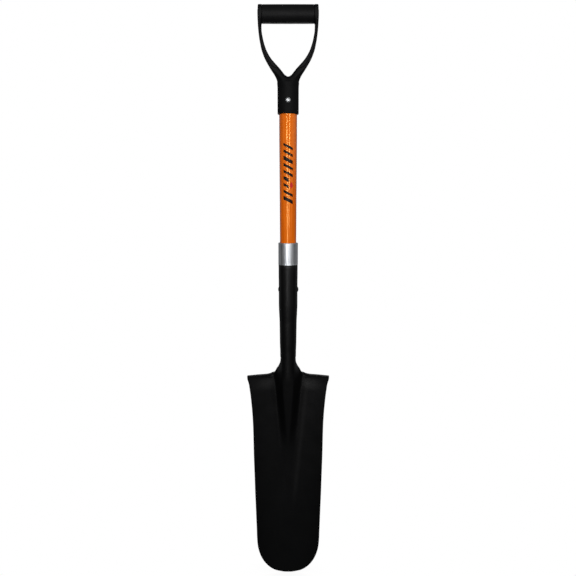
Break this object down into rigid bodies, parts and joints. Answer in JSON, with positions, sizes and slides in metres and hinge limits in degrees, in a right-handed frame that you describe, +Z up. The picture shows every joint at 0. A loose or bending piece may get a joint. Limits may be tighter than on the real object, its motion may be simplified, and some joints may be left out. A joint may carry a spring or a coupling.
{
  "type": "drain spade",
  "caption": "Long narrow dished digging blade with turned foot steps and a rolled socket, on a short fibreglass shaft with a D-shaped handle.",
  "frame": {"origin": "on the shaft axis, level with the cutting tip of the blade", "axes": "+Z up the shaft from blade to handle; -Y towards the user, the side the dished face of the blade turns to; +X across the blade to the right"},
  "size_m": [0.1524, 0.0399, 1.0423],
  "materials": {
    "black_painted_steel": "semi-gloss baked black paint",
    "bright_steel": "bright drawn steel",
    "black_painted_rivet": "semi-gloss black paint",
    "orange_fibreglass": "glossy pultruded resin",
    "core_wood": "raw turned hardwood",
    "printed_transfer": "thin printed film",
    "black_poly": "fine moulded texture",
    "grip_poly": "fine moulded texture",
    "zinc_steel": "bright zinc"
  },
  "bodies": {
    "root": {"blade_and_socket": "black_painted_steel", "socket_collar": "bright_steel", "socket_rivet": "black_painted_rivet", "shaft_tube": "orange_fibreglass", "lower_core_dowel": "core_wood", "upper_core_dowel": "core_wood", "shaft_decal": "printed_transfer", "d_handle_yoke": "black_poly", "grip_sleeve": "grip_poly", "handle_rivet": "zinc_steel", "handle_rivet_washer": "zinc_steel"}
  },
  "joints": []
}
